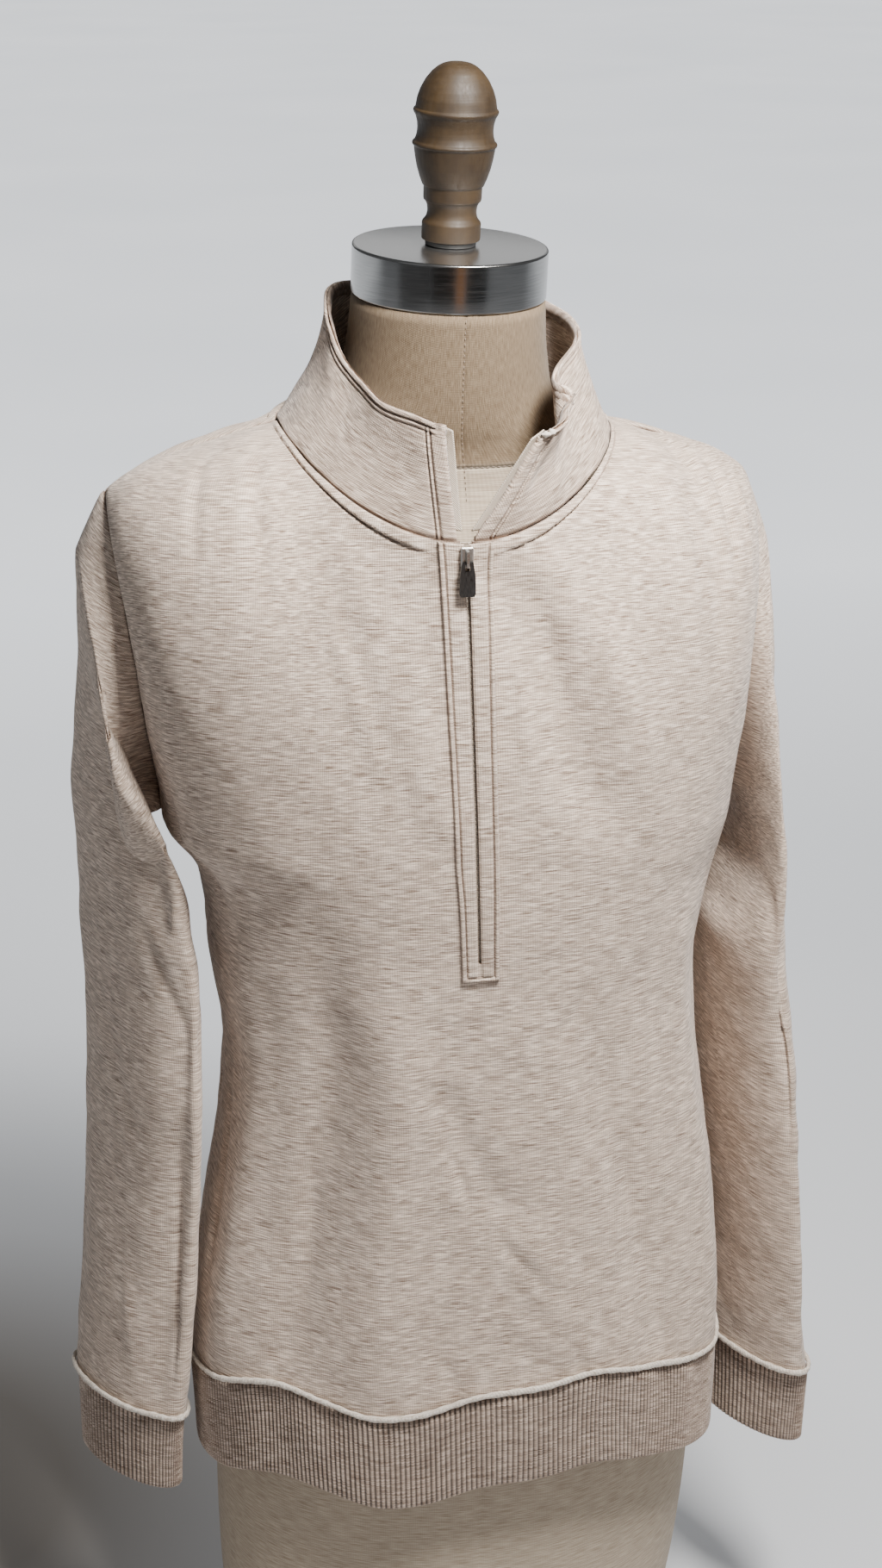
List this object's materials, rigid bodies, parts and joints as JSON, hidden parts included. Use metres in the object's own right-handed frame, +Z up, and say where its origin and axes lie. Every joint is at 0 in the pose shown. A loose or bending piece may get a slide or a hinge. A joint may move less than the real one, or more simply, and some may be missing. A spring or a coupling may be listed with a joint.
{
  "type": "half-zip sweatshirt on a dress form",
  "caption": "Half-zip sweatshirt with a stand collar, ribbed cuffs and hem, filled out by a limbless dress form with a steel neck cap and turned wooden finial.",
  "frame": {"origin": "on the dress form's flat base, under its neck", "axes": "+Z up, the garment's front faces -Y, the wearer's left is +X"},
  "size_m": [0.4883, 0.2576, 1.065],
  "materials": {
    "heather_fleece": "oatmeal heather knit, matt",
    "heather_rib": "heather rib knit, matt",
    "pale_seam": "pale rolled seam allowance, matt",
    "zip_tape": "woven tape, matt",
    "zip_metal": "plated, satin",
    "form_linen": "plain linen, matt",
    "brushed_steel": "brushed",
    "turned_wood": "turned, satin",
    "black_washer": "matt"
  },
  "bodies": {
    "sweatshirt_on_form": {"front": "heather_fleece", "back": "heather_fleece", "sleeve_right": "heather_fleece", "sleeve_left": "heather_fleece", "cuff_right": "heather_rib", "cuff_left": "heather_rib", "hem_rib": "heather_rib", "hem_roll": "pale_seam", "cuff_roll_right": "pale_seam", "cuff_roll_left": "pale_seam", "collar": "heather_fleece", "zip_band": "heather_fleece", "zip_tape": "zip_tape", "zip_tape_right": "zip_tape", "zip_tape_left": "zip_tape", "zip_slider": "zip_metal", "form_torso": "form_linen", "neck_cap": "brushed_steel", "finial_washer": "black_washer", "finial": "turned_wood"},
    "zip_pull": {"zip_pull": "zip_metal"}
  },
  "joints": [
    {"name": "zip_pull_hinge", "type": "hinge", "parent": "sweatshirt_on_form", "child": "zip_pull", "pos_m": [-0.00397, -0.12588, 0.8106], "axis": [-1, 0, 0], "range_deg": [0, 110]}
  ]
}
